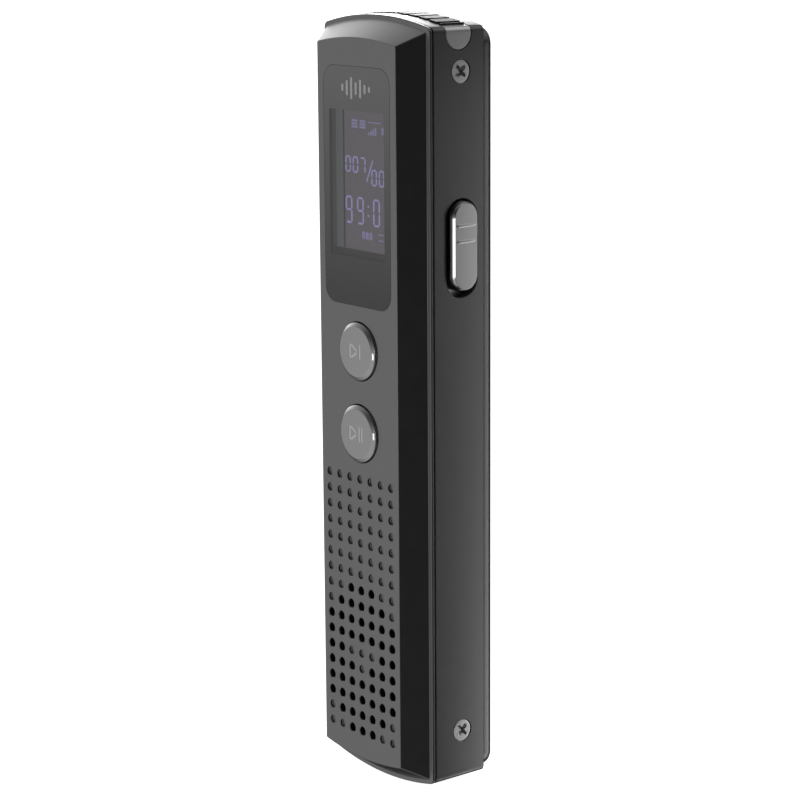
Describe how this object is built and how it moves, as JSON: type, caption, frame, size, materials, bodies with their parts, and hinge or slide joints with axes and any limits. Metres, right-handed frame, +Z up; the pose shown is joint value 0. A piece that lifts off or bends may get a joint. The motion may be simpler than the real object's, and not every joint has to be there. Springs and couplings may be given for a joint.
{
  "type": "handheld voice recorder",
  "caption": "Slim pen-type digital voice recorder with a smoked display window, round front keys, a punched sound grille, a record slider and volume keys on its sides.",
  "frame": {"origin": "under the middle of the upright body, at the lowest point of its arched bottom end", "axes": "+Z up the body's long axis to the microphone end, -Y out of the front face, +X out of the side with the record slider"},
  "size_m": [0.0214, 0.0132, 0.0938],
  "materials": {
    "gunmetal_anodised": "fine matt anodised gunmetal grey",
    "black_metal": "satin black anodised",
    "brushed_metal": "brushed, with a polished chamfer",
    "satin_aluminium": "satin",
    "steel": "nickel plated",
    "dark_plastic": "fine texture",
    "grey_plastic": "satin",
    "white_plastic": "satin",
    "smoked_window": "polished smoked acrylic",
    "display_glass": "polished, grey-violet",
    "tape": "matt black adhesive tape",
    "flex_film": "amber polyimide film",
    "circuit_board": "green solder mask",
    "chip_epoxy": "moulded epoxy",
    "foil": "bright pressed metal",
    "foam": "closed-cell foam",
    "rubber": "matt",
    "mesh_cloth": "woven acoustic mesh",
    "magnet": "nickel-coated magnet",
    "cone_paper": "pressed film",
    "copper": "enamelled copper winding",
    "red_wire": "PVC sleeve",
    "black_wire": "PVC sleeve"
  },
  "bodies": {
    "recorder_body": {"front_cover": "gunmetal_anodised", "housing": "black_metal", "back_cover": "black_metal", "inner_chassis": "dark_plastic", "side_screw_right_top": "steel", "side_screw_left_top": "steel", "side_screw_right_bottom": "steel", "side_screw_left_bottom": "steel", "mic_saddle": "satin_aluminium", "mic_grille": "dark_plastic", "mic_capsule_left": "foil", "mic_capsule_right": "foil", "mic_boot_left": "rubber", "mic_boot_right": "rubber", "display_window": "smoked_window", "window_tape": "tape", "lcd_frame": "grey_plastic", "lcd_glass": "display_glass", "lcd_backlight": "white_plastic", "lcd_flex": "flex_film", "main_board": "circuit_board", "processor_chip": "chip_epoxy", "flash_chip": "chip_epoxy", "amplifier_chip": "chip_epoxy", "clock_crystal": "foil", "battery": "foil", "battery_pad": "foam", "battery_wire_red": "red_wire", "battery_wire_black": "black_wire", "usb_shell": "steel", "usb_tongue": "dark_plastic", "headphone_jack": "dark_plastic", "grille_mesh": "mesh_cloth", "speaker_gasket": "foam", "speaker_frame": "dark_plastic", "speaker_magnet": "magnet", "speaker_wire_red": "red_wire", "speaker_wire_black": "black_wire", "menu_switch": "foil", "play_switch": "foil", "record_switch": "foil", "volume_up_switch": "foil", "volume_down_switch": "foil"},
    "menu_button": {"menu_key": "brushed_metal", "menu_plunger": "white_plastic"},
    "play_button": {"play_key": "brushed_metal", "play_plunger": "white_plastic"},
    "record_knob": {"record_slider": "brushed_metal", "record_lever": "white_plastic"},
    "volume_up_button": {"volume_up_key": "brushed_metal", "volume_up_plunger": "white_plastic"},
    "volume_down_button": {"volume_down_key": "brushed_metal", "volume_down_plunger": "white_plastic"},
    "speaker_diaphragm": {"speaker_cone": "cone_paper", "voice_coil": "copper"}
  },
  "joints": [
    {"name": "menu_press", "type": "slide", "parent": "recorder_body", "child": "menu_button", "axis": [0, 1, 0], "range_m": [0, 0.0003], "stiffness_N_per_m": 1000},
    {"name": "play_press", "type": "slide", "parent": "recorder_body", "child": "play_button", "axis": [0, 1, 0], "range_m": [0, 0.0003], "stiffness_N_per_m": 1000},
    {"name": "volume_up_press", "type": "slide", "parent": "recorder_body", "child": "volume_up_button", "axis": [1, 0, 0], "range_m": [0, 0.00025], "stiffness_N_per_m": 1000},
    {"name": "volume_down_press", "type": "slide", "parent": "recorder_body", "child": "volume_down_button", "axis": [1, 0, 0], "range_m": [0, 0.00025], "stiffness_N_per_m": 1000},
    {"name": "record_slide", "type": "slide", "parent": "recorder_body", "child": "record_knob", "axis": [0, 0, 1], "range_m": [-0.0007, 0]},
    {"name": "speaker_stroke", "type": "slide", "parent": "recorder_body", "child": "speaker_diaphragm", "axis": [0, 1, 0], "range_m": [-0.0002, 0.0002], "stiffness_N_per_m": 600}
  ]
}
